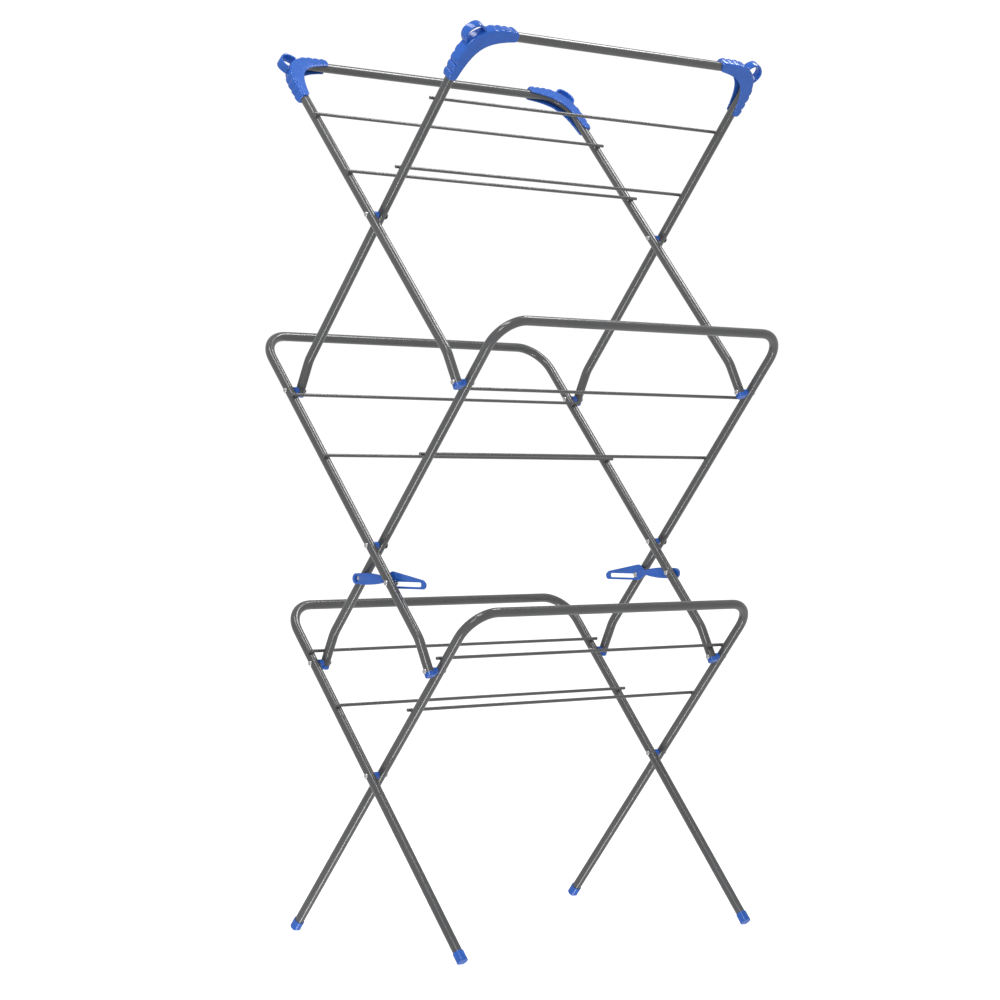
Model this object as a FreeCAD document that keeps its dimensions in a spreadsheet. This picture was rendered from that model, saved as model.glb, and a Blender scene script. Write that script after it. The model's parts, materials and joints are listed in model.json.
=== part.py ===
import FreeCAD, Part
import os
import math
import Sketcher
from FreeCAD import Placement, Rotation, Vector

# Three-tier folding clothes airer, millimetres, +Z up, origin on the floor under the middle.
# Every tier is a pair of U-shaped tube frames that cross on rivets at both ends. The "back"
# frame of a tier has its rail at +Y and the "front" frame is the same frame turned half
# a turn about Z. Each upper tier stands with its bent leg ends on the legs of the tier below.

DRIVING_SIZES = {
    "frame_width": 600.0,        # between the two leg centrelines of one frame
    "frame_shift": 21.8,         # between the leg planes of the back and the front frames
    "tube_diameter": 15.0,
    "tube_wall": 1.0,
    "corner_radius": 50.0,
    "leg_angle": 40.1,           # of every leg from the vertical, in degrees
    "cross_height_one": 262.0,   # heights of the three leg crossings
    "cross_height_two": 614.0,
    "cross_height_three": 1119.0,
    "rail_reach_one": 332.0,     # crossing to rail, along the leg
    "rail_reach_two": 435.0,
    "rail_reach_three": 335.0,
    "foot_reach": 334.3,         # crossing to the cut end of a bottom leg
    "pivot_reach_one": 217.0,    # crossing to the pivot of the tier above
    "pivot_reach_two": 317.0,
    "bend_reach_two": 181.1,     # crossing to the bend of the lower leg
    "bend_reach_three": 280.8,
    "bend_radius": 60.0,
    "end_overhang": 7.0,         # tube beyond its lower pivot
    "rod_diameter": 5.2,
    "rod_overhang": 9.5,         # rod beyond the leg centreline
    "rod_low_one": 127.0,        # crossing to each drying rod, along the leg
    "rod_high_one": 233.2,
    "rod_low_two": 172.6,
    "rod_high_two": 298.6,
    "rod_low_three": 83.3,
    "rod_high_three": 209.0,
    "rivet_radius": 2.0,
    "running_clearance": 0.06,
    "float_radius": 4.8,         # hole round a crossing rivet that is left free
    "face_gap": 0.3,             # between parts that turn against each other
    "head_radius": 4.0,
    "head_height": 2.4,
    "cover_head_radius": 5.6,
    "spacer_radius": 5.5,
    "foot_cap_radius": 8.75,
    "foot_cap_length": 17.0,
    "foot_cap_floor": 3.0,
    "end_cap_floor": 2.0,
    "end_cap_radius": 8.2,
    "end_cap_sleeve": 4.5,
    "cover_reach": 82.0,         # corner cover arm, from the corner point
    "cover_wall": 2.2,
    "cover_outer_radius": 50.0,  # of the cover's outer corner, tighter than the tube's bend
    "cover_inner_apex": 34.5,    # corner point to the middle of the concave inner edge
    "grip_ridge_radius": 7.5,
    "grip_ridge_height": 11.3,   # ridge top above the tube's centreline
    "grip_ridge_pitch": 12.6,
    "loop_top": 81.5,            # from the centre of the rail bend
    "loop_half_length": 18.5,
    "loop_width": 16.0,
    "loop_wall": 3.4,
    "link_rivet_reach": 66.7,    # crossing to the lock link's rivet, along the leg
    "lock_pin_reach": 74.0,      # crossing to the pin in the lock link's slot
    "lock_pin_radius": 1.5,
    "lock_head_radius": 4.1,
    "slot_half_width": 3.4,
    "slot_drop": 7.2,            # slot centreline below the link's rivet
    "slot_start": 91.6,
    "slot_end": 149.6,
    "link_end": 163.0,
    "link_plate": 3.0,
    "link_web": 1.8,             # left under the rivet head that is sunk in the handle
}

TIERS = ("one", "two", "three")
SIDES = ("back", "front")
ENDS = ("left", "right")

document = FreeCAD.newDocument("airer")
sheet = document.addObject("Spreadsheet::Sheet", "Sizes")
for row, (alias, value) in enumerate(DRIVING_SIZES.items(), start=1):
    sheet.set("A%d" % row, alias)
    sheet.set("B%d" % row, str(value))
    sheet.setAlias("B%d" % row, alias)
document.recompute()


def size(alias):
    return float(sheet.get(alias))


TUBE_RADIUS = size("tube_diameter") / 2
HALF_WIDTH = size("frame_width") / 2
HALF_SHIFT = size("frame_shift") / 2
LEG_GAP = size("frame_shift") - size("tube_diameter")
LEG_ANGLE = math.radians(size("leg_angle"))
ROD_OFFSET = TUBE_RADIUS + size("rod_diameter") / 2
HALF_TURN = Rotation(Vector(0, 0, 1), 180)
PARTS = {}


# ---- helpers ------------------------------------------------------------------------------

def keep(node, item):
    """Give a finished sub-part its node name and put it on the list that is written out."""
    item.Label = node
    PARTS[node] = item
    return item


def new_body(name, placement=None):
    body = document.addObject("PartDesign::Body", name)
    if placement is not None:
        body.Placement = placement
    return body


def new_sketch(body, name, plane_role, offset=None):
    """A sketch on one of the body's own origin planes, moved by an attachment offset."""
    sketch = body.newObject("Sketcher::SketchObject", name)
    plane = [f for f in body.Origin.OriginFeatures if f.Role == plane_role][0]
    sketch.AttachmentSupport = (plane, [""])
    sketch.MapMode = "FlatFace"
    if offset is not None:
        sketch.AttachmentOffset = offset
    return sketch


def add_circle(sketch, x, y, radius, expression=None):
    """A circle held at its centre, its radius bound to the sheet when an expression is given."""
    index = sketch.addGeometry(Part.Circle(Vector(x, y, 0), Vector(0, 0, 1), radius), False)
    constraint = sketch.addConstraint(Sketcher.Constraint("Radius", index, radius))
    sketch.addConstraint(Sketcher.Constraint("DistanceX", -1, 1, index, 3, x))
    sketch.addConstraint(Sketcher.Constraint("DistanceY", -1, 1, index, 3, y))
    if expression:
        sketch.setExpression("Constraints[%d]" % constraint, expression)
    return index


def add_outline(sketch, corners):
    """A closed outline of straight edges whose corners (x, y, radius) are rounded by arcs."""
    count = len(corners)
    starts = []
    ends = []
    arcs = []
    for index, (x, y, radius) in enumerate(corners):
        corner = Vector(x, y, 0)
        before = Vector(*corners[index - 1][:2], 0) - corner
        after = Vector(*corners[(index + 1) % count][:2], 0) - corner
        before.normalize()
        after.normalize()
        half = before.getAngle(after) / 2
        reach = radius / math.tan(half)
        ends.append(corner + before * reach)
        starts.append(corner + after * reach)
        bisector = before + after
        bisector.normalize()
        middle = corner + bisector * (radius / math.sin(half) - radius)
        arcs.append((ends[-1], middle, starts[-1]) if radius > 0 else None)
    for index in range(count):
        if arcs[index]:
            sketch.addGeometry(Part.Arc(*arcs[index]), False)
        line = Part.LineSegment(starts[index], ends[(index + 1) % count])
        sketch.addGeometry(line, False)


def pad(body, sketch, name, length, expression=None, midplane=False, reverse=False):
    feature = body.newObject("PartDesign::Pad", name)
    feature.Profile = sketch
    feature.Length = length
    feature.Midplane = midplane
    feature.Reversed = reverse
    if expression:
        feature.setExpression("Length", expression)
    document.recompute()
    return feature


def pocket(body, sketch, name, length=None, midplane=False, reverse=False):
    """A pocket that must take material away: through everything when no length is given."""
    before = body.Shape.Volume
    feature = body.newObject("PartDesign::Pocket", name)
    feature.Profile = sketch
    if length is None:
        feature.Type = 1
    else:
        feature.Length = length
    feature.Midplane = midplane
    feature.Reversed = reverse
    document.recompute()
    if body.Shape.Volume >= before - 1e-3:
        raise RuntimeError("pocket %s in %s cut nothing" % (name, body.Name))
    return feature


def revolve(body, sketch, name, axis="V_Axis"):
    feature = body.newObject("PartDesign::Revolution", name)
    feature.Profile = sketch
    feature.ReferenceAxis = (sketch, [axis])
    feature.Angle = 360
    document.recompute()
    return feature


def group(node, bodies):
    """Separate solids that share one node, such as a pair of rivets."""
    compound = document.addObject("Part::Compound", node)
    compound.Links = bodies
    return keep(node, compound)


def frame_placement(tier, side):
    """Frame coordinates: X along the rail, Y up the leg from the crossing, Z to the inside."""
    tilt = Rotation(Vector(1, 0, 0), 90 - size("leg_angle"))
    height = size("cross_height_" + tier)
    if side == "back":
        return Placement(Vector(-HALF_SHIFT, 0, height), tilt)
    return Placement(Vector(HALF_SHIFT, 0, height), HALF_TURN.multiply(tilt))


def in_frame(tier, side, x, y, z, turn=None):
    """A placement given in the coordinates of one frame."""
    local = Placement(Vector(x, y, z), turn or Rotation())
    return frame_placement(tier, side).multiply(local)


# ---- where the legs meet the tier below ---------------------------------------------------

def lower_end(tier):
    """Bend angle and bend-to-pivot length that bring a leg end onto the pivot below."""
    below = TIERS[TIERS.index(tier) - 1]
    pivot_reach = size("pivot_reach_" + below)
    pivot_y = pivot_reach * math.sin(LEG_ANGLE)
    pivot_drop = size("cross_height_" + tier) - size("cross_height_" + below)
    pivot_drop -= pivot_reach * math.cos(LEG_ANGLE)
    bend = size("bend_reach_" + tier)
    run_y = pivot_y - bend * math.sin(LEG_ANGLE)
    run_z = pivot_drop - bend * math.cos(LEG_ANGLE)
    return LEG_ANGLE - math.atan2(run_y, run_z), math.hypot(run_y, run_z)


def pivot_place(tier, side, x):
    """Placement at the lower pivot of an upper-tier leg, Y pointing up the bent leg end."""
    angle, length = lower_end(tier)
    y = -size("bend_reach_" + tier) - length * math.cos(angle)
    z = -length * math.sin(angle)
    turn = Rotation(Vector(1, 0, 0), math.degrees(angle))
    return in_frame(tier, side, x, y, z, turn)


# ---- tube frames --------------------------------------------------------------------------

def ring_profile(body, name, plane_role, offset, x, y):
    """The tube's section: two concentric circles."""
    sketch = new_sketch(body, name, plane_role, offset)
    add_circle(sketch, x, y, TUBE_RADIUS, "Sizes.tube_diameter / 2")
    add_circle(sketch, x, y, TUBE_RADIUS - size("tube_wall"),
               "Sizes.tube_diameter / 2 - Sizes.tube_wall")
    return sketch


def add_pipe(body, name, profile, spine):
    pipe = body.newObject("PartDesign::AdditivePipe", name)
    pipe.Profile = profile
    pipe.Spine = (spine, [])
    document.recompute()
    return pipe


def u_path(body, tier, low):
    """Centreline of the U: up one leg, along the rail and down the other leg."""
    sketch = new_sketch(body, body.Name + "_path", "XY_Plane")
    top = size("rail_reach_" + tier)
    radius = size("corner_radius")
    inner = HALF_WIDTH - radius
    axis = Vector(0, 0, 1)
    left_circle = Part.Circle(Vector(-inner, top - radius, 0), axis, radius)
    right_circle = Part.Circle(Vector(inner, top - radius, 0), axis, radius)
    left_leg = sketch.addGeometry(
        Part.LineSegment(Vector(-HALF_WIDTH, low, 0), Vector(-HALF_WIDTH, top - radius, 0)))
    left_arc = sketch.addGeometry(Part.ArcOfCircle(left_circle, math.pi / 2, math.pi))
    rail = sketch.addGeometry(Part.LineSegment(Vector(-inner, top, 0), Vector(inner, top, 0)))
    right_arc = sketch.addGeometry(Part.ArcOfCircle(right_circle, 0, math.pi / 2))
    right_leg = sketch.addGeometry(
        Part.LineSegment(Vector(HALF_WIDTH, top - radius, 0), Vector(HALF_WIDTH, low, 0)))
    add = sketch.addConstraint
    make = Sketcher.Constraint
    add(make("Tangent", left_leg, 2, left_arc, 2))
    add(make("Tangent", left_arc, 1, rail, 1))
    add(make("Tangent", rail, 2, right_arc, 2))
    add(make("Tangent", right_arc, 1, right_leg, 1))
    add(make("Vertical", left_leg))
    add(make("Equal", left_arc, right_arc))
    add(make("Horizontal", rail))
    bend = add(make("Radius", left_arc, radius))
    sketch.setExpression("Constraints[%d]" % bend, "Sizes.corner_radius")
    half = add(make("DistanceX", left_leg, 1, -1, 1, HALF_WIDTH))
    sketch.setExpression("Constraints[%d]" % half, "Sizes.frame_width / 2")
    width = add(make("DistanceX", left_leg, 1, right_leg, 2, 2 * HALF_WIDTH))
    sketch.setExpression("Constraints[%d]" % width, "Sizes.frame_width")
    reach = add(make("DistanceY", -1, 1, rail, 1, top))
    sketch.setExpression("Constraints[%d]" % reach, "Sizes.rail_reach_" + tier)
    add(make("DistanceY", left_leg, 1, -1, 1, -low))
    add(make("DistanceY", right_leg, 2, -1, 1, -low))
    return sketch


def bent_end(body, tier, x):
    """The last stretch of a lower leg: a small bend and a straight end past the pivot."""
    angle, length = lower_end(tier)
    radius = size("bend_radius")
    reach = radius * math.tan(angle / 2)
    start_y = -size("bend_reach_" + tier) + reach
    half_angle = angle / 2
    across = Placement(Vector(0, 0, x), Rotation())
    label = "left" if x < 0 else "right"
    path = new_sketch(body, "%s_%s_end_path" % (body.Name, label), "YZ_Plane", across)
    start = Vector(start_y, 0, 0)
    middle = Vector(start_y - radius * math.sin(half_angle),
                    -radius * (1 - math.cos(half_angle)), 0)
    bend_end = Vector(start_y - radius * math.sin(angle), -radius * (1 - math.cos(angle)), 0)
    straight = length - reach + size("end_overhang")
    tip = bend_end + Vector(-math.cos(angle), -math.sin(angle), 0) * straight
    path.addGeometry(Part.Arc(start, middle, bend_end), False)
    path.addGeometry(Part.LineSegment(bend_end, tip), False)
    level = Placement(Vector(0, 0, -start_y), Rotation())
    ring = ring_profile(body, "%s_%s_end_ring" % (body.Name, label), "XZ_Plane", level, x, 0)
    add_pipe(body, "%s_%s_end" % (body.Name, label), ring, path)


def cross_holes(body, name, holes, side=None):
    """Holes across the legs at (y, z, radius); side 1 or -1 drills only that leg."""
    sketch = new_sketch(body, name + "_sketch", "YZ_Plane")
    for y, z, radius in holes:
        add_circle(sketch, y, z, radius)
    if side is None:
        return pocket(body, sketch, name, midplane=True)
    return pocket(body, sketch, name, reverse=(side > 0))


def make_frame(tier, side):
    node = "tier_%s_%s_frame" % (tier, side)
    body = new_body(node, frame_placement(tier, side))
    snug = size("rivet_radius")
    running = snug + size("running_clearance")
    if tier == "one":
        low = -size("foot_reach")
    else:
        low = -size("bend_reach_" + tier) + size("bend_radius") * math.tan(lower_end(tier)[0] / 2)
    path = u_path(body, tier, low)
    level = Placement(Vector(0, 0, -low), Rotation())
    ring = ring_profile(body, node + "_ring", "XZ_Plane", level, -HALF_WIDTH, 0)
    add_pipe(body, node + "_u", ring, path)
    if tier != "one":
        bent_end(body, tier, -HALF_WIDTH)
        bent_end(body, tier, HALF_WIDTH)
    crossing = snug
    if side == "front":
        crossing = running if tier == "one" else size("float_radius")
    holes = [(0, 0, crossing)]
    if tier != "three":
        holes.append((size("pivot_reach_" + tier), 0, snug))
    if tier != "one":
        angle, length = lower_end(tier)
        end_y = -size("bend_reach_" + tier) - length * math.cos(angle)
        holes.append((end_y, -length * math.sin(angle), running))
    cross_holes(body, node + "_holes", holes)
    if tier == "two":
        cross_holes(body, node + "_link_hole", [(-size("link_rivet_reach"), 0, snug)], 1)
        pin = size("lock_pin_radius")
        cross_holes(body, node + "_pin_hole", [(-size("lock_pin_reach"), 0, pin)], -1)
    return keep(node, body)


# ---- drying rods --------------------------------------------------------------------------

def make_rod(tier, side, level):
    node = "tier_%s_%s_rod_%s" % (tier, side, level)
    reach = size("rod_%s_%s" % (level, tier))
    body = new_body(node, in_frame(tier, side, 0, reach, ROD_OFFSET))
    sketch = new_sketch(body, node + "_section", "YZ_Plane")
    add_circle(sketch, 0, 0, size("rod_diameter") / 2, "Sizes.rod_diameter / 2")
    length = size("frame_width") + 2 * size("rod_overhang")
    bar = pad(body, sketch, node + "_bar", length,
              "Sizes.frame_width + 2 * Sizes.rod_overhang", midplane=True)
    chamfer = body.newObject("PartDesign::Chamfer", node + "_ends")
    chamfer.Base = (bar, ["Edge1", "Edge3"])
    chamfer.Size = 0.5
    document.recompute()
    return keep(node, body)


# ---- plastic caps -------------------------------------------------------------------------

def make_foot_cap(side, end):
    """Closed sleeve on a bottom leg end, cut flat where it stands on the floor."""
    node = "%s_%s_foot_cap" % ("front" if side == "back" else "back", end)
    leg_x = leg_side(side, end) * HALF_WIDTH
    floor = size("foot_cap_floor")
    bottom = -size("foot_reach") - floor
    body = new_body(node, in_frame("one", side, leg_x, bottom, 0))
    outer = size("foot_cap_radius")
    length = size("foot_cap_length")
    section = new_sketch(body, node + "_section", "XY_Plane")
    add_outline(section, [(0, 0, 0), (outer, 0, 1.0), (outer, length, 0.4),
                          (TUBE_RADIUS, length, 0), (TUBE_RADIUS, floor, 0), (0, floor, 0)])
    revolve(body, section, node + "_sleeve")
    tip = size("cross_height_one") + bottom * math.cos(LEG_ANGLE)
    depth = 2 * outer
    corner_y = -tip / math.cos(LEG_ANGLE)
    far_y = (depth * math.sin(LEG_ANGLE) - tip) / math.cos(LEG_ANGLE)
    ground = new_sketch(body, node + "_ground", "YZ_Plane")
    add_outline(ground, [(corner_y, 0, 0), (far_y, -depth, 0), (corner_y, -depth, 0)])
    pocket(body, ground, node + "_flat", midplane=True)
    return keep(node, body)


def leg_side(side, end):
    """Which leg of a frame, in its own coordinates, stands at the left or right end."""
    sign = -1 if end == "left" else 1
    return sign if side == "back" else -sign


def make_end_cap(tier, side, end):
    """Sleeve on the lower end of an upper leg, with a boss that spaces it off the leg below."""
    place = "front" if side == "back" else "back"
    node = "tier_%s_%s_%s_end_cap" % (tier, place, end)
    body = new_body(node, pivot_place(tier, side, leg_side(side, end) * HALF_WIDTH))
    boss_reach = TUBE_RADIUS + LEG_GAP - size("face_gap")
    boss = new_sketch(body, node + "_boss", "YZ_Plane")
    add_circle(boss, 0, 0, size("spacer_radius"), "Sizes.spacer_radius")
    pad(body, boss, node + "_boss_pad", boss_reach)
    tip = -size("end_overhang") - size("end_cap_floor")
    top = size("end_cap_sleeve") - size("end_overhang")
    outer = size("end_cap_radius")
    section = new_sketch(body, node + "_section", "XY_Plane")
    add_outline(section, [(0, tip, 0), (outer, tip, 1.2), (outer, top, 0.4), (0, top, 0)])
    revolve(body, section, node + "_sleeve")
    level = Placement(Vector(0, 0, size("end_overhang")), Rotation())
    bore = new_sketch(body, node + "_bore", "XZ_Plane", level)
    add_circle(bore, 0, 0, TUBE_RADIUS, "Sizes.tube_diameter / 2")
    pocket(body, bore, node + "_bore_cut", 40.0)
    relief = new_sketch(body, node + "_relief", "YZ_Plane")
    add_circle(relief, 0, 0, size("head_radius") + 0.5, "Sizes.head_radius + 0.5")
    pocket(body, relief, node + "_relief_cut")
    hole = new_sketch(body, node + "_hole", "YZ_Plane")
    add_circle(hole, 0, 0, size("rivet_radius") + size("running_clearance"))
    pocket(body, hole, node + "_hole_cut", midplane=True)
    return keep(node, body)


# ---- rivets and spacers -------------------------------------------------------------------

def rivet_body(name, placement, start, stop, start_head, stop_head, shank_expression):
    """Rivet along X with domed heads outside start and stop; a head is (radius, height)."""
    body = new_body(name, placement)
    section = new_sketch(body, name + "_section", "XZ_Plane")
    shank = size("rivet_radius")
    if shank_expression:
        shank = size(shank_expression)
    first_radius, first_height = start_head
    last_radius, last_height = stop_head
    add_outline(section, [
        (start - first_height, 0, 0),
        (start - first_height, first_radius, 0.6 * first_height),
        (start, first_radius, 0), (start, shank, 0), (stop, shank, 0),
        (stop, last_radius, 0), (stop + last_height, last_radius, 0.6 * last_height),
        (stop + last_height, 0, 0)])
    revolve(body, section, name + "_turned", "H_Axis")
    return body


def make_crossing(tier):
    """The two rivets and two spacers on which the frames of one tier cross."""
    gap = size("face_gap")
    head = (size("head_radius"), size("head_height"))
    wide_head = (size("cover_head_radius"), size("head_height"))
    rivets = []
    spacers = []
    for end in ENDS:
        x = leg_side("back", end) * HALF_WIDTH
        place = in_frame(tier, "back", x, 0, 0)
        stop = TUBE_RADIUS * 2 + LEG_GAP + TUBE_RADIUS + gap
        last = wide_head if tier != "one" else head
        rivets.append(rivet_body("tier_%s_%s_crossing_rivet" % (tier, end), place,
                                 -TUBE_RADIUS, stop, head, last, None))
        name = "tier_%s_%s_crossing_spacer" % (tier, end)
        body = new_body(name, place)
        ring = new_sketch(body, name + "_ring", "YZ_Plane")
        add_circle(ring, 0, 0, size("spacer_radius"), "Sizes.spacer_radius")
        add_circle(ring, 0, 0, size("rivet_radius"), "Sizes.rivet_radius")
        pad(body, ring, name + "_pad", size("frame_shift") - TUBE_RADIUS - gap,
            "Sizes.frame_shift - Sizes.tube_diameter / 2 - Sizes.face_gap")
        saddle = new_sketch(body, name + "_saddle", "XZ_Plane")
        add_circle(saddle, 0, 0, TUBE_RADIUS, "Sizes.tube_diameter / 2")
        pocket(body, saddle, name + "_saddle_cut", midplane=True)
        spacers.append(body)
    group("tier_%s_crossing_rivets" % tier, rivets)
    group("tier_%s_crossing_spacers" % tier, spacers)


def make_pivot_rivets(tier, side):
    """Rivets fixed in a frame's legs that carry the leg ends of the tier above."""
    gap = size("face_gap")
    head = (size("head_radius"), size("head_height"))
    rivets = []
    for end in ENDS:
        x = leg_side(side, end) * HALF_WIDTH
        place = in_frame(tier, side, x, size("pivot_reach_" + tier), 0)
        stop = TUBE_RADIUS * 2 + LEG_GAP + TUBE_RADIUS + gap
        rivets.append(rivet_body("tier_%s_%s_%s_pivot_rivet" % (tier, side, end), place,
                                 -TUBE_RADIUS, stop, head, head, None))
    group("tier_%s_%s_pivot_rivets" % (tier, side), rivets)


# ---- corner covers ------------------------------------------------------------------------

def cover_outline(sketch, outset, inner_edge):
    """Cover seen square to the frame: arms along +X and -Y from the corner point."""
    reach = size("cover_reach")
    radius = size("cover_outer_radius") if inner_edge else size("corner_radius") + outset
    centre = Vector(radius - outset, outset - radius, 0)
    diagonal = Vector(1, -1, 0) / math.sqrt(2)
    rail_tip = Vector(reach, outset, 0)
    leg_tip = Vector(-outset, -reach, 0)
    outer_rail = Vector(centre.x, outset, 0)
    outer_leg = Vector(-outset, centre.y, 0)
    apex = centre - diagonal * radius
    if inner_edge:
        inner_rail = Vector(reach - 5, -4, 0)
        inner_leg = Vector(4, 5 - reach, 0)
        inner_apex = diagonal * size("cover_inner_apex")
        sketch.addGeometry(Part.Arc(inner_leg, inner_apex, inner_rail), False)
        sketch.addGeometry(Part.LineSegment(leg_tip, inner_leg), False)
        sketch.addGeometry(Part.LineSegment(inner_rail, rail_tip), False)
    else:
        far = Vector(reach + radius, -reach - radius, 0)
        beyond_rail = Vector(far.x, outset, 0)
        beyond_leg = Vector(-outset, far.y, 0)
        sketch.addGeometry(Part.LineSegment(leg_tip, beyond_leg), False)
        sketch.addGeometry(Part.LineSegment(beyond_leg, far), False)
        sketch.addGeometry(Part.LineSegment(far, beyond_rail), False)
        sketch.addGeometry(Part.LineSegment(beyond_rail, rail_tip), False)
    sketch.addGeometry(Part.LineSegment(rail_tip, outer_rail), False)
    sketch.addGeometry(Part.Arc(outer_rail, apex, outer_leg), False)
    sketch.addGeometry(Part.LineSegment(outer_leg, leg_tip), False)


def long_outer_edges(shape, half_depth, outset):
    """Names of the edges that run along the outside of the cover on both of its flanks."""
    radius = size("cover_outer_radius")
    centre = radius - outset
    names = []
    for index, edge in enumerate(shape.Edges, start=1):
        middle = edge.valueAt((edge.FirstParameter + edge.LastParameter) / 2)
        if abs(abs(middle.z) - half_depth) > 0.01:
            continue
        straight = abs(middle.y - outset) < 0.01 or abs(middle.x + outset) < 0.01
        from_centre = math.hypot(middle.x - centre, middle.y + centre)
        round_stretch = abs(from_centre - radius) < 0.01
        if straight or round_stretch:
            names.append("Edge%d" % index)
    return names


def make_corner_cover(side, end):
    """Channel-shaped plastic corner over the top rail bend, with grip ridges and a loop."""
    node = "%s_%s_corner_cover" % (side, end)
    sign = leg_side(side, end)
    turn = Rotation(Vector(0, 0, 1), 0 if sign < 0 else -90)
    place = in_frame("three", side, sign * HALF_WIDTH, size("rail_reach_three"), 0, turn)
    body = new_body(node, place)
    wall = size("cover_wall")
    half_depth = TUBE_RADIUS + wall
    outline = new_sketch(body, node + "_outline", "XY_Plane")
    cover_outline(outline, half_depth, True)
    shell = pad(body, outline, node + "_block", 2 * half_depth, midplane=True)
    rounded = body.newObject("PartDesign::Fillet", node + "_rounding")
    rounded.Base = (shell, long_outer_edges(shell.Shape, half_depth, half_depth))
    rounded.Radius = 3.0
    document.recompute()
    ridge = size("grip_ridge_radius")
    rise = size("grip_ridge_height") - ridge
    for step in range(3):
        along = size("cover_reach") - 6.2 - size("grip_ridge_pitch") * step
        ridges = new_sketch(body, "%s_ridges_%d" % (node, step), "XY_Plane")
        add_circle(ridges, along, rise, ridge)
        add_circle(ridges, -rise, -along, ridge)
        pad_name = "%s_ridge_%d" % (node, step)
        pad(body, ridges, pad_name, 2 * half_depth - 3.2, midplane=True)
    radius = size("corner_radius")
    bend_centre = Placement(Vector(radius, -radius, 0), Rotation(Vector(0, 0, 1), 45))
    top = size("loop_top")
    half = size("loop_half_length")
    wall_thickness = size("loop_wall")
    foot = radius + TUBE_RADIUS + wall / 2
    arch = new_sketch(body, node + "_arch", "XY_Plane", bend_centre)
    add_outline(arch, [(-half, foot, 0), (half, foot, 0), (half, top, 0.8 * half),
                       (-half, top, 0.8 * half)])
    pad(body, arch, node + "_arch_pad", size("loop_width"), "Sizes.loop_width", midplane=True)
    hole = new_sketch(body, node + "_arch_hole", "XY_Plane", bend_centre)
    half -= wall_thickness
    top -= wall_thickness
    floor = radius + half_depth + 4.4
    add_outline(hole, [(-half, floor, 1.5), (half, floor, 1.5), (half, top, 0.72 * half),
                       (-half, top, 0.72 * half)])
    pocket(body, hole, node + "_arch_cut", midplane=True)
    channel = new_sketch(body, node + "_channel", "XY_Plane")
    cover_outline(channel, TUBE_RADIUS, False)
    pocket(body, channel, node + "_channel_cut", 2 * TUBE_RADIUS, midplane=True)
    return keep(node, body)


# ---- lock links ---------------------------------------------------------------------------

def link_place(side):
    """Link coordinates: origin at its rivet, Y level towards the slot, X across the gap."""
    at = frame_placement("two", side).multVec(
        Vector(HALF_WIDTH, -size("link_rivet_reach"), 0))
    turn = Rotation() if side == "back" else HALF_TURN
    return Placement(at, turn)


def link_outline():
    """Outline of the lock link's plate: straight tongue, shoulder and tapered slot plate."""
    end = size("link_end")
    low = -size("slot_drop") - 7.0
    return [(end, low, 6.4), (83, low, 9), (68, -6.5, 6), (10, -6.5, 2), (10, 2.4, 2),
            (68, 2.4, 6), (82, 12.4, 5), (end - 6, -0.2, 6), (end, -5, 5)]


def make_lock_link(side):
    """Slotted stay between the legs of the middle tier; it rides on the side frame's leg."""
    node = "left_lock_link" if side == "front" else "right_lock_link"
    body = new_body(node, link_place(side))
    gap = size("face_gap")
    inner = TUBE_RADIUS + gap
    plate_start = TUBE_RADIUS + (LEG_GAP - size("link_plate")) / 2
    outline = new_sketch(body, node + "_outline", "YZ_Plane",
                         Placement(Vector(0, 0, plate_start), Rotation()))
    add_outline(outline, link_outline())
    pad(body, outline, node + "_plate", size("link_plate"), "Sizes.link_plate")
    handle = new_sketch(body, node + "_handle", "YZ_Plane",
                        Placement(Vector(0, 0, inner + 0.2), Rotation()))
    add_outline(handle, [(63, -9.4, 3), (-11.5, -9.4, 8.2), (-11.5, 7.4, 8.2), (63, 7.4, 3)])
    pad(body, handle, node + "_handle_pad", LEG_GAP - 2 * gap - 0.4)
    seat = new_sketch(body, node + "_seat", "YZ_Plane",
                      Placement(Vector(0, 0, inner + 0.2 + size("link_web")), Rotation()))
    add_circle(seat, 0, -1.0, size("lock_head_radius") + 1.4, "Sizes.lock_head_radius + 1.4")
    pocket(body, seat, node + "_seat_cut", LEG_GAP, reverse=True)
    holes = new_sketch(body, node + "_holes", "YZ_Plane")
    add_circle(holes, 0, 0, size("rivet_radius") + size("running_clearance"))
    half = size("slot_half_width")
    drop = size("slot_drop")
    start = size("slot_start") - half
    stop = size("slot_end") + half
    round_end = half - 0.05
    add_outline(holes, [(start, -drop - half, round_end), (stop, -drop - half, round_end),
                        (stop, -drop + half, round_end), (start + 8, -drop + half, 1),
                        (start + 5, -drop + half + 2.4, 2), (start, -drop + half + 2.4, 2)])
    pocket(body, holes, node + "_holes_cut", midplane=True)
    return keep(node, body)


def make_lock_hardware(side):
    """The link's rivet on its own leg, and the headed pin of the other link's slot."""
    gap = size("face_gap")
    head = (size("head_radius"), size("head_height"))
    own_end = "left" if side == "front" else "right"
    other_end = "right" if side == "front" else "left"
    place = in_frame("two", side, HALF_WIDTH, -size("link_rivet_reach"), 0)
    flat_head = (size("lock_head_radius"), 1.2)
    web = TUBE_RADIUS + gap + 0.2 + size("link_web")
    rivet = rivet_body(own_end + "_lock_rivet", place, -TUBE_RADIUS, web + gap,
                       head, flat_head, None)
    keep(own_end + "_lock_rivet", rivet)
    place = in_frame("two", side, -HALF_WIDTH, -size("lock_pin_reach"), 0)
    plate_far = TUBE_RADIUS + (LEG_GAP + size("link_plate")) / 2
    pin = rivet_body(other_end + "_lock_pin", place, -TUBE_RADIUS, plate_far + gap,
                     head, flat_head, "lock_pin_radius")
    keep(other_end + "_lock_pin", pin)


# ---- assembly -----------------------------------------------------------------------------

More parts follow.
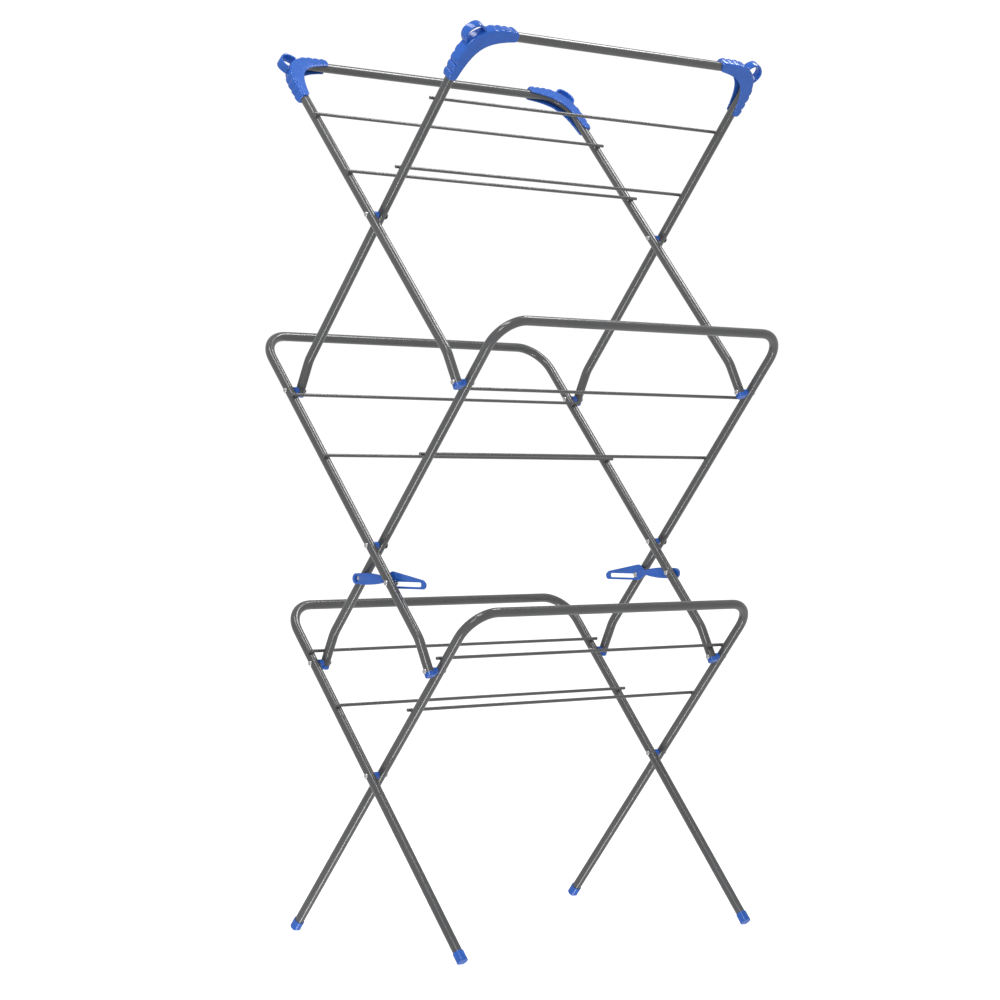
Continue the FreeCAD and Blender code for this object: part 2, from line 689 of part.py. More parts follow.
for tier in TIERS:
    for side in SIDES:
        make_frame(tier, side)
        for level in ("low", "high"):
            make_rod(tier, side, level)
        if tier != "three":
            make_pivot_rivets(tier, side)
        if tier != "one":
            for end in ENDS:
                make_end_cap(tier, side, end)
    make_crossing(tier)
for side in SIDES:
    for end in ENDS:
        make_foot_cap(side, end)
        make_corner_cover(side, end)
    make_lock_link(side)
    make_lock_hardware(side)

document.recompute()
for item in document.Objects:
    if "Invalid" in item.State or "Error" in item.State:
        raise RuntimeError("%s failed: %s" % (item.Label, item.State))
for node, item in PARTS.items():
    if item.Shape.isNull() or not item.Shape.isValid():
        raise RuntimeError("%s has no valid shape" % node)

os.makedirs("parts", exist_ok=True)
for node, item in PARTS.items():
    item.Shape.exportStep(os.path.join("parts", node + ".step"))
print("%d nodes written" % len(PARTS))
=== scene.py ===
import json
import math

import bmesh
import bpy
from mathutils import Matrix, Vector
from mathutils import noise as lumps


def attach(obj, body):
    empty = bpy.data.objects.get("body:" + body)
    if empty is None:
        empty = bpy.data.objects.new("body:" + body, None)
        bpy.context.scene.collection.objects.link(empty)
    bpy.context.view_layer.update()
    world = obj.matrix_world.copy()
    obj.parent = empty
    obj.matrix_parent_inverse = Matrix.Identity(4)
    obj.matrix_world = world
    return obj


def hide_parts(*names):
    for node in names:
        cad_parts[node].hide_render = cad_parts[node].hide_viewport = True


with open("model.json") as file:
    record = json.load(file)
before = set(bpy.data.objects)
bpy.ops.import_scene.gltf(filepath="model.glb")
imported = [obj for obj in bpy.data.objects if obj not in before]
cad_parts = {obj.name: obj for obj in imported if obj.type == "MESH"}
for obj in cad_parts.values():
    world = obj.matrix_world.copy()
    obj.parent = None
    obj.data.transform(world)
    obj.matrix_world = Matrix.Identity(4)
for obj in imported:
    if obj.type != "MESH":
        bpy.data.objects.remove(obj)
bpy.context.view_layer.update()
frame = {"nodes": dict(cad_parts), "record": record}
nodes = frame["nodes"]

MM = 0.001

# ---- the airer's own measures, metres -------------------------------------------------------
TUBE_RADIUS = 7.5 * MM
FRAME_HALF_WIDTH = 300 * MM
FRAME_HALF_SHIFT = 10.9 * MM
LEG_ANGLE = math.radians(40.1)
CROSS_HEIGHT = {"one": 262 * MM, "two": 614 * MM, "three": 1119 * MM}
TOP_RAIL_REACH = 335 * MM
ROD_REACH = {"one": (127 * MM, 233.2 * MM), "two": (172.6 * MM, 298.6 * MM),
             "three": (83.3 * MM, 209 * MM)}
LINK_RIVET_REACH = 66.7 * MM

# ---- colours --------------------------------------------------------------------------------
TUBE_GREY = (0.082, 0.083, 0.086)
ROD_GREY = (0.09, 0.091, 0.094)
STEEL = (0.72, 0.72, 0.73)
BLUE = (0.025, 0.13, 0.56)
NOISE_MIDDLE = (0.3, 0.7)

# ---- stage: metres, watts and strengths -----------------------------------------------------
WORLD_BELOW = 0.66
WORLD_ABOVE = 0.48
WORLD_SEEN = 1.05
FLOOR_SIZE = 80
FLOOR_GLOW = 0.72
CAMERA_PLACE = (-3.0259, -3.3850, 0.6831)
CAMERA_HEADING = -0.7217
CAMERA_SENSOR = 36
CAMERA_LENS = 102.2

# Each lamp: name, place, target, width, height, power. The low strip lies under the floor, which
# casts no shadow, and lights the undersides of the legs.
LAMPS = (
    ("key", (-3.6, -2.2, 3.0), (0, 0, 0.8), 1.0, 1.6, 42),
    ("overhead_strip", (-1.02, -0.4, 2.95), (-1.0, -0.3, 1.0), 0.4, 2.2, 20),
    ("low_strip", (-1.3, -0.8, -2.6), (-0.2, 0, 0.6), 0.35, 3.2, 40),
    ("right_panel", (1.05, -0.42, 2.83), (-0.3, 0.16, 1.3), 0.6, 0.8, 17),
)


# ---- materials ------------------------------------------------------------------------------

def new_material(name):
    material = bpy.data.materials.new(name)
    material.use_nodes = True
    tree = material.node_tree
    return material, tree, tree.nodes["Principled BSDF"]


def noise(tree, scale, detail=4.0, roughness=0.55):
    """Noise over the piece's own coordinates, scale in lumps per metre."""
    node = tree.nodes.new("ShaderNodeTexNoise")
    node.inputs["Scale"].default_value = scale
    node.inputs["Detail"].default_value = detail
    node.inputs["Roughness"].default_value = roughness
    coords = tree.nodes.new("ShaderNodeTexCoord").outputs["Object"]
    tree.links.new(coords, node.inputs["Vector"])
    return node


def ramp(tree, factor, low, high, colours):
    """Colour ramp between two colours, over the stretch low to high of the factor."""
    node = tree.nodes.new("ShaderNodeValToRGB")
    node.color_ramp.elements[0].position = low
    node.color_ramp.elements[1].position = high
    for element, colour in zip(node.color_ramp.elements, colours):
        element.color = (*colour, 1)
    tree.links.new(factor, node.inputs["Fac"])
    return node


def span(tree, factor, low, high):
    """The middle of a noise factor's range mapped onto low to high."""
    node = tree.nodes.new("ShaderNodeMapRange")
    node.inputs["From Min"].default_value = NOISE_MIDDLE[0]
    node.inputs["From Max"].default_value = NOISE_MIDDLE[1]
    node.inputs["To Min"].default_value = low
    node.inputs["To Max"].default_value = high
    tree.links.new(factor, node.inputs["Value"])
    return node


def bump(tree, height, strength, distance, below=None):
    node = tree.nodes.new("ShaderNodeBump")
    node.inputs["Strength"].default_value = strength
    node.inputs["Distance"].default_value = distance
    tree.links.new(height, node.inputs["Height"])
    if below is not None:
        tree.links.new(below.outputs["Normal"], node.inputs["Normal"])
    return node


def shade(colour, factor):
    return tuple(min(1.0, channel * factor) for channel in colour)


def painted_tube(name, colour, rough):
    """Glossy stoved paint: faint colour drift, orange peel and a few dull rubbed patches."""
    material, tree, shader = new_material(name)
    drift = noise(tree, 9, 3)
    tint = ramp(tree, drift.outputs["Fac"], 0.3, 0.7, (shade(colour, 0.9), shade(colour, 1.1)))
    tree.links.new(tint.outputs["Color"], shader.inputs["Base Color"])
    rubbed = noise(tree, 45, 6, 0.65)
    tree.links.new(span(tree, rubbed.outputs["Fac"], rough * 0.85, rough * 1.25).outputs["Result"],
                   shader.inputs["Roughness"])
    peel = noise(tree, 900, 2, 0.5)
    wave = noise(tree, 160, 2, 0.4)
    first = bump(tree, wave.outputs["Fac"], 0.03, 0.2 * MM)
    second = bump(tree, peel.outputs["Fac"], 0.02, 0.03 * MM, first)
    tree.links.new(second.outputs["Normal"], shader.inputs["Normal"])
    shader.inputs["Metallic"].default_value = 0.0
    shader.inputs["Specular IOR Level"].default_value = 0.6
    shader.inputs["Coat Weight"].default_value = 0.5
    shader.inputs["Coat Roughness"].default_value = 0.1
    return material


def rivet_steel(name):
    """Bright plated steel with fine turning marks and small dents from the riveting die."""
    material, tree, shader = new_material(name)
    blotch = noise(tree, 380, 4)
    tint = ramp(tree, blotch.outputs["Fac"], 0.3, 0.75, (shade(STEEL, 0.82), STEEL))
    tree.links.new(tint.outputs["Color"], shader.inputs["Base Color"])
    scratch = noise(tree, 1500, 3, 0.6)
    tree.links.new(span(tree, scratch.outputs["Fac"], 0.16, 0.34).outputs["Result"],
                   shader.inputs["Roughness"])
    dents = bump(tree, blotch.outputs["Fac"], 0.12, 0.15 * MM)
    tree.links.new(dents.outputs["Normal"], shader.inputs["Normal"])
    shader.inputs["Metallic"].default_value = 1.0
    return material


def moulded_plastic(name, colour):
    """Glossy injection-moulded plastic: slight flow shading, fine texture, rubbed gloss."""
    material, tree, shader = new_material(name)
    flow = noise(tree, 28, 4)
    tint = ramp(tree, flow.outputs["Fac"], 0.3, 0.72,
                (shade(colour, 0.86), shade(colour, 1.08)))
    tree.links.new(tint.outputs["Color"], shader.inputs["Base Color"])
    rubbed = noise(tree, 60, 2, 0.5)
    tree.links.new(span(tree, rubbed.outputs["Fac"], 0.12, 0.19).outputs["Result"],
                   shader.inputs["Roughness"])
    grain = noise(tree, 1400, 2, 0.5)
    sink = noise(tree, 90, 2, 0.4)
    first = bump(tree, sink.outputs["Fac"], 0.03, 0.1 * MM)
    second = bump(tree, grain.outputs["Fac"], 0.01, 0.01 * MM, first)
    tree.links.new(second.outputs["Normal"], shader.inputs["Normal"])
    shader.inputs["Specular IOR Level"].default_value = 0.55
    shader.inputs["Subsurface Weight"].default_value = 0.05
    shader.inputs["Subsurface Radius"].default_value = (0.4 * MM, 0.8 * MM, 2.5 * MM)
    return material


TUBE = painted_tube("grey_tube_paint", TUBE_GREY, 0.22)
ROD = painted_tube("grey_rod_paint", ROD_GREY, 0.28)
RIVET = rivet_steel("plated_rivet_steel")
PLASTIC = moulded_plastic("blue_moulded_plastic", BLUE)
FINISHES = {"tube_paint": TUBE, "rod_paint": ROD, "rivet_steel": RIVET, "blue_plastic": PLASTIC}


def finish_cad_nodes():
    """Every CAD node gets the procedural material of its slot."""
    slots = {s["node"]: s["material_slot"] for s in frame["record"]["subparts"]}
    for name, node in nodes.items():
        node.data.materials.clear()
        node.data.materials.append(FINISHES[slots[name]])


finish_cad_nodes()


# ---- shared mesh helpers ---------------------------------------------------------------------

def frame_matrix(tier, side):
    """From frame coordinates (X along the rail, Y up the leg, Z inwards) to the whole airer's."""
    tilt = Matrix.Rotation(math.pi / 2 - LEG_ANGLE, 4, "X")
    if side == "back":
        return Matrix.Translation((-FRAME_HALF_SHIFT, 0, CROSS_HEIGHT[tier])) @ tilt
    half_turn = Matrix.Rotation(math.pi, 4, "Z")
    return Matrix.Translation((FRAME_HALF_SHIFT, 0, CROSS_HEIGHT[tier])) @ half_turn @ tilt


def add_object(name, data):
    piece = bpy.data.objects.new(name, data)
    bpy.context.scene.collection.objects.link(piece)
    return piece


def mesh_from(bm, name):
    """A mesh of the bmesh, with doubled points merged and all faces turned outward."""
    bmesh.ops.remove_doubles(bm, verts=bm.verts, dist=0.004 * MM)
    bmesh.ops.dissolve_degenerate(bm, edges=bm.edges, dist=0.002 * MM)
    bmesh.ops.recalc_face_normals(bm, faces=bm.faces)
    mesh = bpy.data.meshes.new(name)
    bm.to_mesh(mesh)
    bm.free()
    return mesh


def skin(rings, name):
    """A closed skin over rings of points: each ring joined to the next, both ends capped."""
    bm = bmesh.new()
    rows = [[bm.verts.new(point) for point in ring] for ring in rings]
    count = len(rows[0])
    for low, high in zip(rows, rows[1:]):
        for k in range(count):
            bm.faces.new((low[k], low[(k + 1) % count], high[(k + 1) % count], high[k]))
    for row in (rows[0], rows[-1]):
        bmesh.ops.triangulate(bm, faces=[bm.faces.new(row)])
    return mesh_from(bm, name)


def combine(base, tool, operation):
    """Boolean of two closed meshes; the tool object is used up."""
    modifier = base.modifiers.new("combine", "BOOLEAN")
    modifier.operation = operation
    modifier.solver = "EXACT"
    modifier.object = tool
    bake(base)
    bpy.data.objects.remove(tool)


def worked_out(piece):
    """A plain mesh of the piece's curve, or of its mesh with the modifiers applied."""
    bpy.context.view_layer.update()
    graph = bpy.context.evaluated_depsgraph_get()
    return bpy.data.meshes.new_from_object(piece.evaluated_get(graph))


def bake(piece):
    mesh = worked_out(piece)
    piece.modifiers.clear()
    piece.data = mesh


def soften(piece, angle, width):
    """Round the edges sharper than the angle a little, as a mould does, and shade smooth below it."""
    for polygon in piece.data.polygons:
        polygon.use_smooth = True
    modifier = piece.modifiers.new("edge_rounding", "BEVEL")
    modifier.limit_method = "ANGLE"
    modifier.angle_limit = math.radians(angle)
    modifier.width = width
    modifier.segments = 2
    bake(piece)
    piece.data.set_sharp_from_angle(angle=math.radians(angle))


def arc_points(centre, radius, start, stop, steps):
    """Points on an arc, angles in degrees."""
    points = []
    for k in range(steps + 1):
        turn = math.radians(start + (stop - start) * k / steps)
        points.append((centre[0] + radius * math.cos(turn), centre[1] + radius * math.sin(turn)))
    return points


def rounded_outline(corners, steps=8):
    """Points of a closed outline whose corners (x, y, radius) are rounded by arcs."""
    points = []
    for index, (x, y, radius) in enumerate(corners):
        here = Vector((x, y))
        before = (Vector(corners[index - 1][:2]) - here).normalized()
        after = (Vector(corners[(index + 1) % len(corners)][:2]) - here).normalized()
        half = before.angle(after) / 2
        start = here + before * (radius / math.tan(half))
        stop = here + after * (radius / math.tan(half))
        centre = here + (before + after).normalized() * (radius / math.sin(half))
        first = start - centre
        sweep = first.angle_signed(stop - centre)
        for k in range(steps + 1):
            turn = Matrix.Rotation(-sweep * k / steps, 2)
            points.append(tuple(centre + turn @ first))
    return points


# ---- corner covers ---------------------------------------------------------------------------
# Cover coordinates, millimetres: arms along +X (the rail) and -Y (the leg) from the corner
# point, Z square to the frame.

BEND_RADIUS = 50.0
COVER_REACH = 82.0
COVER_FLANK = 9.7
COVER_BORE = 7.58
COVER_OUTSET = 9.3
COVER_OUTER_RADIUS = 50.0
TIP_ROUNDING = 4.0
INNER_EDGE_APEX = 34.5
INNER_EDGE_ASYMPTOTE = -6.0
GRIP_PITCH = 12.6
GRIP_RISE = 2.6
GRIP_COUNT = 3
GRIP_SINK = 0.4
GRIP_START = COVER_REACH - 0.6 - GRIP_COUNT * GRIP_PITCH
PAD_START = GRIP_START - 9.5
PAD_STOP = GRIP_START - 1.6
PAD_RISE = 0.8
PLAIN_CORNER = 4.0
GRIP_CORNER = 4.6
LIP = 0.6
BORE_LIP = 0.55
BORE_STEPS = 8
ARM_STEPS = 62
BEND_STEPS = 40
TINY = 1e-6

# How far a face turns in at the arm's tip, and over what length.
OUTER_EASE = (1.1, 1.4)
FLANK_EASE = (0.7, 1.2)


def flank_depth(point, normal):
    """How far the flank reaches from the tube's centreline to the cover's inner edge.

    The inner edge is one branch of a hyperbola: nearly straight along both arms, round between.
    """
    shift = INNER_EDGE_ASYMPTOTE
    product = (INNER_EDGE_APEX / math.sqrt(2) - shift) ** 2
    right = point.x - shift
    down = -point.y - shift
    slope = right * normal.y - down * normal.x
    curve = -normal.x * normal.y
    missing = product - right * down
    if curve < TINY:
        return missing / slope
    return (math.sqrt(slope * slope + 4 * curve * missing) - slope) / (2 * curve)


def outer_reach(point, normal):
    """From the tube's centreline out to the cover's outer face, which turns a tighter corner."""
    centre = COVER_OUTER_RADIUS - COVER_OUTSET
    if point.x > centre and point.y > -TINY or point.y < -centre and point.x < TINY:
        return COVER_OUTSET
    away = point - Vector((centre, -centre))
    along = away.dot(normal)
    reach = math.sqrt(along * along - away.length_squared + COVER_OUTER_RADIUS ** 2) - along
    spot = point + normal * reach
    if spot.x > centre:
        return (COVER_OUTSET - point.y) / normal.y
    if spot.y < -centre:
        return (COVER_OUTSET + point.x) / -normal.x
    return reach


def grip(along):
    """Height of the grip ridges: steep towards the corner, easing off towards the arm's end."""
    place = (along - GRIP_START) / GRIP_PITCH
    if place < 0 or place > GRIP_COUNT:
        return 0.0
    return max(math.sin(math.pi * (place % 1.0) ** 0.62), 0.0) ** 0.6


def cover_section(depth, outset, corner, flank):
    """C-shaped section as (outwards, across) points, closed by a rounded lip on each side."""
    half = [(-depth, COVER_BORE + BORE_LIP), (-depth, flank - LIP), (-depth + LIP, flank)]
    for share in (0.34, 0.67, 0.9):
        half.append((-depth + (outset - corner + depth) * share, flank))
    half += arc_points((outset - corner, flank - corner), corner, 90, 0, 6)
    half += [(outset + 0.12, (flank - corner) * 0.5), (outset + 0.16, 0.0)]
    half = [(max(out, -depth), across) for out, across in half]
    lift = max(-depth, 0.0)
    start = math.degrees(math.asin(min(lift / COVER_BORE, 0.97)))
    if depth > 0:
        bore = [(-depth + 0.5, COVER_BORE)]
    else:
        bore = [(-depth, COVER_BORE * math.cos(math.radians(start)))]
    for k in range(BORE_STEPS + 1):
        turn = math.radians(start + (90 - start) * k / BORE_STEPS)
        bore.append((COVER_BORE * math.sin(turn), COVER_BORE * math.cos(turn)))
    outside = half + [(out, -across) for out, across in reversed(half[:-1])]
    inside = bore + [(out, -across) for out, across in reversed(bore[:-1])]
    return outside + list(reversed(inside))


def cover_stations():
    """(point, outward normal, distance from the corner along the arm) from tip to tip."""
    arm = []
    for k in range(ARM_STEPS):
        along = COVER_REACH - (COVER_REACH - BEND_RADIUS) * k / ARM_STEPS
        arm.append((Vector((along, 0)), Vector((0, 1)), along))
    bend = []
    for k in range(BEND_STEPS + 1):
        turn = math.radians(90 + 90 * k / BEND_STEPS)
        normal = Vector((math.cos(turn), math.sin(turn)))
        off_diagonal = abs(turn - math.radians(135))
        along = BEND_RADIUS - (math.pi / 4 - off_diagonal) * BEND_RADIUS
        bend.append((Vector((BEND_RADIUS, -BEND_RADIUS)) + normal * BEND_RADIUS, normal, along))
    other = [(Vector((-p.y, -p.x)), Vector((-n.y, -n.x)), a) for p, n, a in reversed(arm)]
    return arm + bend + other


def tip_ease(from_tip, ease):
    """How far a face is drawn in at this distance from the arm's tip."""
    inset, length = ease
    return inset * max(0.0, 1 - from_tip / length) ** 2


def cover_shell():
    """The channel over the rail bend, skinned over its sections from tip to tip."""
    rings = []
    for point, normal, along in cover_stations():
        ridge = grip(along)
        outset = outer_reach(point, normal)
        if along < GRIP_START:
            pad = 1.0 if PAD_START < along < PAD_STOP else 0.0
            outset += PAD_RISE * pad
            corner = PLAIN_CORNER - 1.2 * pad
        else:
            outset += GRIP_RISE * ridge - GRIP_SINK
            corner = GRIP_CORNER - 1.6 * ridge
        from_tip = COVER_REACH - along
        outset -= tip_ease(from_tip, OUTER_EASE)
        flank = COVER_FLANK - tip_ease(from_tip, FLANK_EASE)
        depth = flank_depth(point, normal)
        if from_tip < TIP_ROUNDING:
            share = 1 - from_tip / TIP_ROUNDING
            depth -= 1.5 * TIP_ROUNDING * (1 - math.sqrt(1 - share * share))
        section = cover_section(depth, outset, corner, flank)
        rings.append([(Vector((*(point + normal * out), across)) * MM)
                      for out, across in section])
    return skin(rings, "cover_shell")


LOOP_TOP = 81.4
LOOP_BASE = 60.4
LOOP_HALF_LENGTH = 18.4
LOOP_WIDTH = 14.5
LOOP_SHIFT = 1.9
LOOP_WALL = 3.5
LOOP_STEPS = 44
LOOP_FULLNESS = 0.8

# The loop's rounded edges: share of the way through the wall, and how far the flank draws in.
LOOP_EDGES = ((0.0, 1.1), (0.08, 0.4), (0.3, 0.0), (0.7, 0.0), (0.92, 0.4), (1.0, 1.1))


def cover_loop():
    """The flat loop that stands on the corner: a full arch with rounded edges."""
    outwards = Vector((-1, 1)).normalized()
    sideways = Vector((1, 1)).normalized()
    centre = Vector((BEND_RADIUS, -BEND_RADIUS))
    outer = []
    inner = []
    for k in range(LOOP_STEPS + 1):
        turn = math.pi * k / LOOP_STEPS
        across = math.copysign(abs(math.cos(turn)) ** LOOP_FULLNESS, math.cos(turn))
        up = math.sin(turn) ** LOOP_FULLNESS
        rise = LOOP_TOP - LOOP_BASE
        outer.append((LOOP_HALF_LENGTH * across, LOOP_BASE + rise * up))
        inner.append(((LOOP_HALF_LENGTH - LOOP_WALL) * across,
                      LOOP_BASE + (rise - LOOP_WALL) * up))
    half_width = LOOP_WIDTH / 2
    rings = []
    for out, inn in zip(outer, inner):
        ring = []
        for side in (1, -1):
            for share, inset in LOOP_EDGES:
                share = share if side > 0 else 1 - share
                spot = [o + (i - o) * share for o, i in zip(out, inn)]
                flat = centre + sideways * spot[0] + outwards * spot[1]
                depth = LOOP_SHIFT + side * (half_width - inset)
                ring.append(Vector((flat.x, flat.y, depth)) * MM)
        rings.append(ring)
    return skin(rings, "cover_loop")


def make_corner_covers():
    shell = add_object("cover_shell", cover_shell())
    combine(shell, add_object("cover_loop", cover_loop()), "UNION")
    soften(shell, 38, 0.35 * MM)
    for side in ("back", "front"):
        for sign in (-1, 1):
            world_sign = sign if side == "back" else -sign
            end = "left" if world_sign < 0 else "right"
            node = "%s_%s_corner_cover" % (side, end)
            turn = Matrix.Rotation(0 if sign < 0 else -math.pi / 2, 4, "Z")
            corner = Matrix.Translation((sign * FRAME_HALF_WIDTH, TOP_RAIL_REACH, 0))
            mesh = shell.data.copy()
            mesh.transform(frame_matrix("three", side) @ corner @ turn)
            piece = add_object("moulded_" + node, mesh)
            piece.data.materials.clear()
            piece.data.materials.append(PLASTIC)
            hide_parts(node)
            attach(piece, "tier_three_" + side)
    bpy.data.objects.remove(shell)


# ---- lock links ------------------------------------------------------------------------------
# Link coordinates, millimetres: origin at the link's rivet, Y level towards the slot, Z up,
# X across the gap between the two legs from the centre of its own leg.

LINK_GAP = (7.8, 14.0)
LINK_PLATE = (9.4, 12.4)
LINK_SLOT = (88.2, 153.0)
LINK_DROP = 7.2
LINK_END = 163.0
SLOT_HALF = 3.4
NOTCH_RISE = 2.4
PLATE_BELOW_SLOT = 7.0
HANDLE_START = -3.3
HANDLE_LENGTH = 66
HANDLE_TOP = 7.4
HANDLE_BOTTOM = -9.4
HANDLE_STEPS = 12
NOSE_CENTRE = (-3.1, -1.0)
NOSE_RADIUS = 8.4
RIVET_BORE = 2.15
RIVET_SEAT = 5.5


def flat_piece(name, outlines, low, high, rounding):
    """A plate with holes, X from low to high, its edges rounded over."""
    curve = bpy.data.curves.new(name, "CURVE")
    curve.dimensions = "2D"
    curve.fill_mode = "BOTH"
    curve.extrude = ((high - low) / 2 - rounding) * MM
    curve.bevel_depth = rounding * MM
    curve.bevel_resolution = 2
    curve.offset = -rounding * MM
    for outline in outlines:
        spline = curve.splines.new("POLY")
        spline.points.add(len(outline) - 1)
        spline.use_cyclic_u = True
        for point, (y, z) in zip(spline.points, outline):
            point.co = (y * MM, z * MM, 0, 1)
    source = add_object(name, curve)
    mesh = worked_out(source)
    bpy.data.objects.remove(source)
    stand_up = Matrix(((0, 0, 1, (low + high) / 2 * MM), (1, 0, 0, 0), (0, 1, 0, 0), (0, 0, 0, 1)))
    mesh.transform(stand_up)
    bm = bmesh.new()
    bm.from_mesh(mesh)
    return add_object(name, mesh_from(bm, name))


def link_plate():
    """The slotted half; corners are (along, up, rounding) and the notch is at the slot's start."""
    low = -LINK_DROP - PLATE_BELOW_SLOT
    outline = rounded_outline([
        (LINK_END, low, 6.4), (84, low, 9), (69, -5.6, 9), (58, -6.2, 2), (58, 3.4, 2),
        (69, 2.4, 9), (83, 12.4, 9), (LINK_END - 6, -0.2, 6), (LINK_END, -5, 4.6)])
    start, stop = LINK_SLOT
    top = -LINK_DROP + SLOT_HALF
    bottom = -LINK_DROP - SLOT_HALF
    slot = rounded_outline([(start, bottom, 3.2), (stop, bottom, 3.2), (stop, top, 3.2),
                            (start + 8, top, 1), (start + 5, top + NOTCH_RISE, 2),
                            (start, top + NOTCH_RISE, 2)])
    return flat_piece("link_plate", [outline, slot], *LINK_PLATE, 0.55)


def link_handle():
    """Barrel-shaped grip between the link's rivet and its waist."""
    top = [(HANDLE_START, HANDLE_TOP)]
    bottom = [(HANDLE_START, HANDLE_BOTTOM)]
    for k in range(1, HANDLE_STEPS + 1):
        share = k / HANDLE_STEPS
        swell = math.sin(math.pi * share) * 0.9 - 3.4 * share ** 3
        along = HANDLE_START + HANDLE_LENGTH * share
        top.append((along, HANDLE_TOP + swell))
        bottom.append((along, HANDLE_BOTTOM - swell))
    nose = arc_points(NOSE_CENTRE, NOSE_RADIUS, 93, 267, 20)
    outline = nose + bottom + list(reversed(top))
    bore = arc_points((0, 0), RIVET_BORE, 0, 345, 23)
    low, high = LINK_GAP[0] + 0.2, LINK_GAP[1] - 0.2
    return flat_piece("link_handle", [outline, bore], low, high, 0.7)


def recess_tool(centre, radius, low, high):
    """A cylinder across the link, to sink the seat of the rivet."""
    bm = bmesh.new()
    bmesh.ops.create_cone(bm, cap_ends=True, segments=48, radius1=radius * MM,
                          radius2=radius * MM, depth=(high - low) * MM)
    mesh = mesh_from(bm, "recess")
    lay = Matrix.Rotation(math.pi / 2, 4, "Y")
    place = Matrix.Translation(((low + high) / 2 * MM, centre[0] * MM, centre[1] * MM))
    mesh.transform(place @ lay)
    return add_object("recess", mesh)


def make_lock_links():
    link = link_handle()
    combine(link, link_plate(), "UNION")
    seat = recess_tool((0, NOSE_CENTRE[1]), RIVET_SEAT, LINK_GAP[0] + 2.0, LINK_GAP[1] + 1.0)
    combine(link, seat, "DIFFERENCE")
    soften(link, 40, 0.2 * MM)
    for side, end in (("front", "left"), ("back", "right")):
        rivet = frame_matrix("two", side) @ Vector((FRAME_HALF_WIDTH, -LINK_RIVET_REACH, 0))
        turn = Matrix.Rotation(math.pi if side == "front" else 0, 4, "Z")
        mesh = link.data.copy()
        mesh.transform(Matrix.Translation(rivet) @ turn)
        piece = add_object("moulded_%s_lock_link" % end, mesh)
        piece.data.materials.clear()
        piece.data.materials.append(PLASTIC)
        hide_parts(end + "_lock_link")
        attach(piece, end + "_lock")
    bpy.data.objects.remove(link)


# ---- weld beads ------------------------------------------------------------------------------

BEAD_RADII = (3.7, 3.6, 1.5)
BEAD_LUMPINESS = 0.16


def make_weld_beads():
    """The squeezed-out ring of metal where each drying rod is welded across a leg."""
    for tier, reaches in ROD_REACH.items():
        for side in ("back", "front"):
            bm = bmesh.new()
            for reach in reaches:
                for sign in (-1, 1):
                    contact = Vector((sign * FRAME_HALF_WIDTH, reach, TUBE_RADIUS + 0.1 * MM))
                    bead = bmesh.ops.create_icosphere(bm, subdivisions=3, radius=1.0)["verts"]
                    for vert in bead:
                        lump = 1 + BEAD_LUMPINESS * lumps.noise(vert.co * 1.7 + contact * 90)
                        grown = Vector([c * radius for c, radius in zip(vert.co, BEAD_RADII)])
                        vert.co = grown * (lump * MM) + contact
            bmesh.ops.recalc_face_normals(bm, faces=bm.faces)
            mesh = bpy.data.meshes.new("weld_beads")
            bm.to_mesh(mesh)
            bm.free()
            mesh.transform(frame_matrix(tier, side))
            piece = add_object("tier_%s_%s_weld_beads" % (tier, side), mesh)
            for polygon in piece.data.polygons:
                polygon.use_smooth = True
            piece.data.materials.append(ROD)
            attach(piece, "tier_%s_%s" % (tier, side))


make_corner_covers()
make_lock_links()
make_weld_beads()


# ---- floor, light and camera ----------------------------------------------------------------

def add_floor():
    """Plain white ground that glows a little and takes no part in shadow or bounce."""
    bpy.ops.mesh.primitive_plane_add(size=FLOOR_SIZE, location=(0, 0, 0))
    floor = bpy.context.object
    floor.name = "floor"
    material, tree, shader = new_material("pale_floor")
    cloud = noise(tree, 1.5, 3)
    tint = ramp(tree, cloud.outputs["Fac"], 0.3, 0.7, ((0.9, 0.9, 0.9), (0.93, 0.93, 0.93)))
    tree.links.new(tint.outputs["Color"], shader.inputs["Base Color"])
    shader.inputs["Roughness"].default_value = 1.0
    shader.inputs["Specular IOR Level"].default_value = 0.0
    shader.inputs["Emission Color"].default_value = (1, 1, 1, 1)
    shader.inputs["Emission Strength"].default_value = FLOOR_GLOW
    floor.data.materials.append(material)
    floor.visible_diffuse = False
    floor.visible_glossy = False
    floor.visible_shadow = False


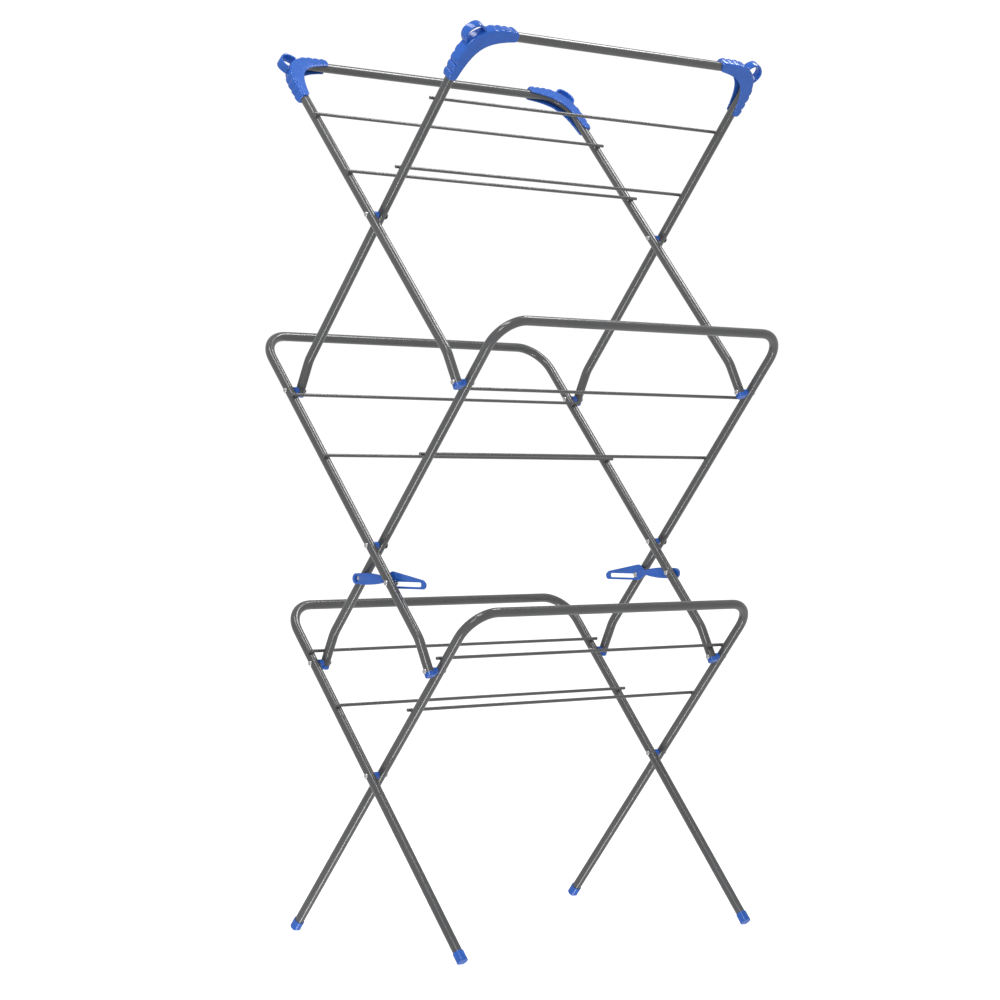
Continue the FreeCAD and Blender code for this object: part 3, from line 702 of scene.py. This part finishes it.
def add_softbox(name, place, target, width, height, power):
    data = bpy.data.lights.new(name, "AREA")
    data.shape = "RECTANGLE"
    data.size = width
    data.size_y = height
    data.energy = power
    lamp = add_object(name, data)
    lamp.location = place
    aim = Vector(target) - Vector(place)
    lamp.rotation_euler = aim.to_track_quat("-Z", "Y").to_euler()


def add_world():
    """White where the camera sees it. As a light it is a little stronger from below than above."""
    world = bpy.data.worlds.new("studio")
    bpy.context.scene.world = world
    world.use_nodes = True
    tree = world.node_tree
    light = tree.nodes["Background"]
    light.inputs["Color"].default_value = (1, 1, 1, 1)
    direction = tree.nodes.new("ShaderNodeTexCoord").outputs["Generated"]
    split = tree.nodes.new("ShaderNodeSeparateXYZ")
    tree.links.new(direction, split.inputs["Vector"])
    fade = tree.nodes.new("ShaderNodeMapRange")
    fade.interpolation_type = "SMOOTHSTEP"
    fade.inputs["From Min"].default_value = -0.6
    fade.inputs["From Max"].default_value = 0.9
    fade.inputs["To Min"].default_value = WORLD_BELOW
    fade.inputs["To Max"].default_value = WORLD_ABOVE
    tree.links.new(split.outputs["Z"], fade.inputs["Value"])
    tree.links.new(fade.outputs["Result"], light.inputs["Strength"])
    seen = tree.nodes.new("ShaderNodeBackground")
    seen.inputs["Color"].default_value = (1, 1, 1, 1)
    seen.inputs["Strength"].default_value = WORLD_SEEN
    path = tree.nodes.new("ShaderNodeLightPath")
    mix = tree.nodes.new("ShaderNodeMixShader")
    tree.links.new(path.outputs["Is Camera Ray"], mix.inputs["Fac"])
    tree.links.new(light.outputs["Background"], mix.inputs[1])
    tree.links.new(seen.outputs["Background"], mix.inputs[2])
    tree.links.new(mix.outputs["Shader"], tree.nodes["World Output"].inputs["Surface"])


def add_camera():
    data = bpy.data.cameras.new("camera")
    data.sensor_width = CAMERA_SENSOR
    data.lens = CAMERA_LENS
    data.clip_end = 100
    camera = add_object("camera", data)
    camera.location = CAMERA_PLACE
    camera.rotation_euler = (math.radians(90), 0, CAMERA_HEADING)
    bpy.context.scene.camera = camera


add_floor()
for lamp_facts in LAMPS:
    add_softbox(*lamp_facts)
add_world()
add_camera()
bpy.context.scene.view_settings.view_transform = "Standard"
